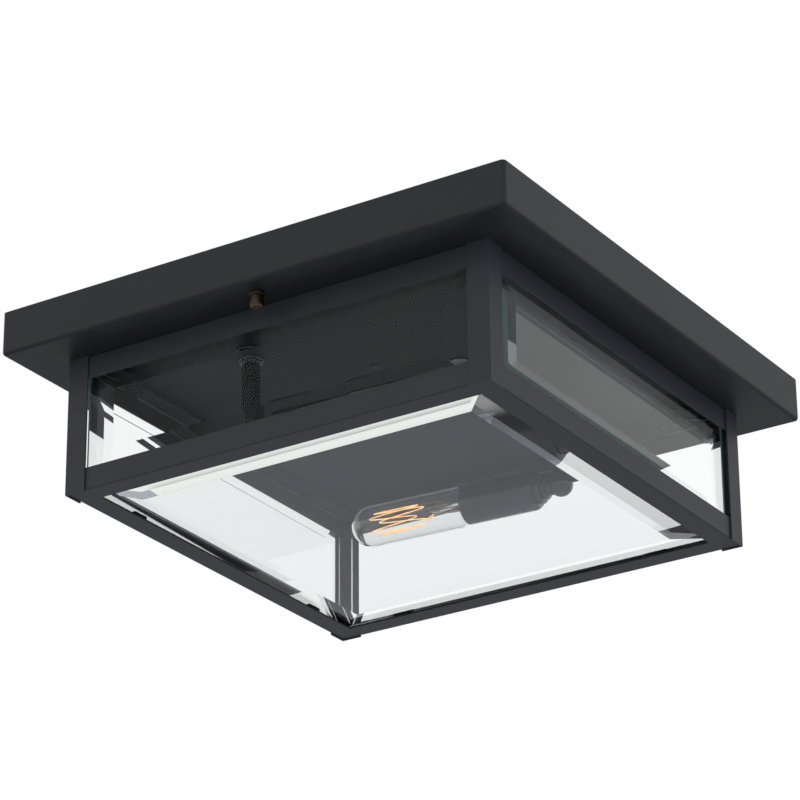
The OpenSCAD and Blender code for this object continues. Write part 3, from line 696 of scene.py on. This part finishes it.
def hex_nut(across, bore, top, bottom, sides=48):
    """A hexagon cut by a cone at each face: the radius is the lesser of the two all round."""
    angle = np.linspace(0, 2 * np.pi, sides, endpoint=False)[None]
    share = np.array([0, 0.08, 0.2, 0.8, 0.92, 1.0])[:, None]
    flat = across / 2 / np.cos((angle + np.pi / 6) % (np.pi / 3) - np.pi / 6)
    cone = across / 2 * (0.94 + np.minimum(share, 1 - share) * 1.6)
    r = np.minimum(flat, cone)
    depth = top + (bottom - top) * share
    r = np.concatenate([r, np.full((2, sides), bore)])
    depth = np.concatenate([depth, [[bottom], [top]]])
    return np.stack([r * np.cos(angle), r * np.sin(angle), -depth + 0 * angle], -1)


def at(grid, x, y):
    return grid + np.array([x, y, 0.0])


stud = thread(radius=2.0, top=0, bottom=31.5, pitch=0.9, depth=0.28)
lock_nut = hex_nut(across=7.0, bore=1.95, top=2, bottom=5.2)
piece("rolled_studs", [at(stud, 0, y) for y in (-STUD_AT, STUD_AT)], "ceiling_mount",
      zinc_cast, stands_for="studs", crease=60)
piece("stud_lock_nuts", [at(lock_nut, 0, y) for y in (-STUD_AT, STUD_AT)], "ceiling_mount",
      zinc_cast, closed=True, stands_for="stud_nuts")
pipe_nut = at(hex_nut(across=13.0, bore=4.75, top=18.4, bottom=22.4, sides=72),
              LAMP[0], LAMP[1])
piece("pipe_nuts", [pipe_nut, half_turned(pipe_nut, 1)], "ceiling_mount",
      zinc_cast, closed=True, stands_for="stem_nuts")


# Wiring ------------------------------------------------------------------------------------
# A black and a white lead run from each lampholder up its pipe and across the pan to twist-on
# connectors. A bare copper wire is looped under the green earth screw.
def wire_cover(name, tone):
    """Smooth plastic cover with a faint drag along it."""
    finish, shader, place = new_finish(name, Specular_IOR_Level=0.5)
    drag = place.noise(500, 2)
    feed(shader, Base_Color=drag.mix([0.8 * tone] * 3, [tone] * 3),
         Roughness=0.34 + 0.14 * drag, Normal=bumps(drag, 0.000008))
    return finish


def smooth_path(points, between=6):
    """Catmull-Rom curve: each stretch is the cubic whose slope at a point joins its neighbours."""
    p = np.asarray(points, float)
    p = np.concatenate([[2 * p[0] - p[1]], p, [2 * p[-1] - p[-2]]])
    t = (np.arange(between) / between)[None, :, None]
    a, b, c, d = (p[k:len(p) - 3 + k, None] for k in range(4))
    curve = 0.5 * (2 * b + (c - a) * t + (2 * a - 5 * b + 4 * c - d) * t ** 2
                   + (3 * b - a - 3 * c + d) * t ** 3)
    return np.concatenate([curve.reshape(-1, 3), p[-2:-1]])


def arm_way(side):
    """The lead's way along the arm and up the pipe, a little to one side of the middle."""
    along = np.array([17.5, 5, 1.6, 0.3, 0])
    height = np.array([0, 0, 0.5, 2.4, 6])
    return np.stack([LAMP[0] + ALONG[0] * along, LAMP[1] + side * 1.3 + ALONG[1] * along,
                     LAMP[2] + height], 1)


ROUTES = {
    "a": (
        [(48.8, 71.7, -16), (48, 70, -12.5), (45, 66, -12), (36, 50, -12), (34, 44, -12),
         (34, 20, -12)],
        [(48.8, 74.3, -16), (50.5, 73.5, -12.5), (55, 70, -12), (61, 52, -12), (62, 44, -12),
         (62, 20, -12)]),
    "b": (
        [(-48.8, -71.7, -16), (-48, -70, -11), (-45, -63, -8), (-40, -40, -8), (-40, 36, -8),
         (-36, 42, -8), (-28, 44, -8), (24, 44, -8), (32, 41, -8.5), (36.4, 34, -11),
         (36.4, 20, -12)],
        [(-48.8, -74.3, -16), (-50, -73, -11), (-54, -66, -8), (-56, -40, -8), (-56, 44, -8),
         (-52, 52, -8), (-44, 54, -8), (52, 54, -8), (61, 51, -8), (64.4, 44, -8.5),
         (64.6, 34, -11), (64.6, 20, -12)])}
covers = [wire_cover("black_wire_cover", 0.02), wire_cover("white_wire_cover", 0.72)]
for i, lamp in enumerate("ab"):
    for side, tone, cover, route in zip((-1, 1), ("black", "white"), covers, ROUTES[lamp]):
        start = arm_way(side) * ((-1, -1, 1) if i else (1, 1, 1))
        path = smooth_path(np.concatenate([start, route]))
        piece(f"{tone}_lead_{lamp}", tube(path, 0.9, sides=12), "ceiling_mount",
              cover, stands_for=f"leads_{lamp}", crease=80)

copper = bright_metal("bare_copper", (0.50, 0.22, 0.11), (0.72, 0.38, 0.22), 0.3)
loop = np.radians(np.arange(-200, 81, 14))
loop_path = np.stack([2.65 * np.cos(loop), 12 + 2.65 * np.sin(loop), np.full(len(loop), -2.8)], 1)
tail = [(-6, 15.6, -3), (-12, 16, -4.5), (-18, 16, -8), (-23, 14, -11), (-24, 10, -12),
        (-24, 4, -12)]
piece("earth_wire", tube(smooth_path(np.concatenate([loop_path, tail])), 0.8, sides=12),
      "ceiling_mount", copper, stands_for="ground_wire", crease=80)


def connector_plastic():
    """Twist-on connector: glossy moulded plastic, dusty in its grooves."""
    finish, shader, place = new_finish("connector_plastic", Specular_IOR_Level=0.5)
    dust = place.noise(420, 3)
    feed(shader, Base_Color=dust.mix((0.55, 0.36, 0.035), (0.66, 0.45, 0.07)),
         Roughness=0.32 + 0.2 * dust, Normal=bumps(dust, 0.00001))
    return finish


def connector(x, y, depth=12, length=22, sides=72):
    """A tapering cap: ridges run along its narrow half, a smooth skirt is flared at its mouth."""
    share = np.array([0, 0.03, 0.06, 0.3, 0.36, 0.42, 0.6, 0.8, 0.93, 0.98, 1, 1])[:, None]
    angle = np.linspace(0, 2 * np.pi, sides, endpoint=False)[None]
    taper = 6.0 - 2.1 * share
    taper = np.where(share > 0.9, taper * np.sqrt(np.clip(1 - ((share - 0.9) / 0.105) ** 2, 0, 1)),
                     taper)
    ribbed = np.clip((share - 0.3) / 0.12, 0, 1) * (share < 0.95)
    r = taper * (1 - 0.05 * ribbed * (1 - np.abs(np.cos(9 * angle))))
    r[-1] = 0
    return np.stack([x + r * np.cos(angle), y - length * share + 0 * angle,
                     -depth + r * np.sin(angle)], -1)


piece("ribbed_connectors", [connector(x, y) for x, y in ((35.2, 20), (63.3, 20), (-24, 4))],
      "ceiling_mount", connector_plastic(),
      stands_for="wire_connectors", crease=50)


def green_steel():
    """Green dyed zinc plating, paler where a driver has rubbed it."""
    finish, shader, place = new_finish("green_steel", Metallic=0.7)
    rubbed = place.noise(700, 3)
    feed(shader, Base_Color=rubbed.mix((0.012, 0.13, 0.035), (0.03, 0.22, 0.07)),
         Roughness=0.3 + 0.2 * rubbed, Normal=bumps(rubbed, 0.00001))
    return finish


finish_node("ground_screw", green_steel())


# Cap nuts ----------------------------------------------------------------------------------
# Turned brass nuts, darkened to antique bronze, screwed on the studs' ends under the pan: a
# rim, a groove, a barrel and a domed end, bright where fingers rub the edges.
def antique_bronze():
    """Dark bronze whose rims and edges, set by their height on the nut, are rubbed lighter."""
    finish, shader, place = new_finish("antique_bronze", Metallic=1.0)
    below = (place.part(2) * -1000) - 24.55
    rims = sum((1 - (below - at_).sum_of("ABSOLUTE", below - at_).between(0.05, 0.5)
                for at_ in (0.9, 2.9, 8.3)), 0)
    mottle = place.noise(900, 3)
    rub = (rims * 0.7 + mottle * 0.5).sum_of("MINIMUM", rims * 0.7 + mottle * 0.5, 1.0)
    feed(shader, Base_Color=rub.mix((0.030, 0.021, 0.014), (0.17, 0.12, 0.08)),
         Roughness=0.42 - 0.12 * rub, Normal=bumps(mottle, 0.00001))
    return finish


bronze = antique_bronze()
nut_outline = tidy_profile(
    [(24.55, 2.06), (24.55, 3.8), (25.95, 3.8), (26.25, 3.2), (26.85, 3.2), (27.2, 3.7),
     (32.2, 3.7), (33.55, 2.3), (33.55, 0)],
    [0.1, 0.25, 0.35, 0.15, 0.15, 0.3, 1.3, 0.9, 0.1], 4)
nut_outline = np.concatenate([nut_outline, [(32.05, 0), (32.05, 2.06)]])
for i, side in enumerate(("front", "back")):
    nut = quarter(at(turned(nut_outline, np.zeros(3), DOWN, 48), 0, -STUD_AT), 2 * i)
    piece(f"turned_cap_nut_{side}", nut, f"cap_nut_{side}", bronze, closed=True,
          stands_for=f"cap_nut_{side}")
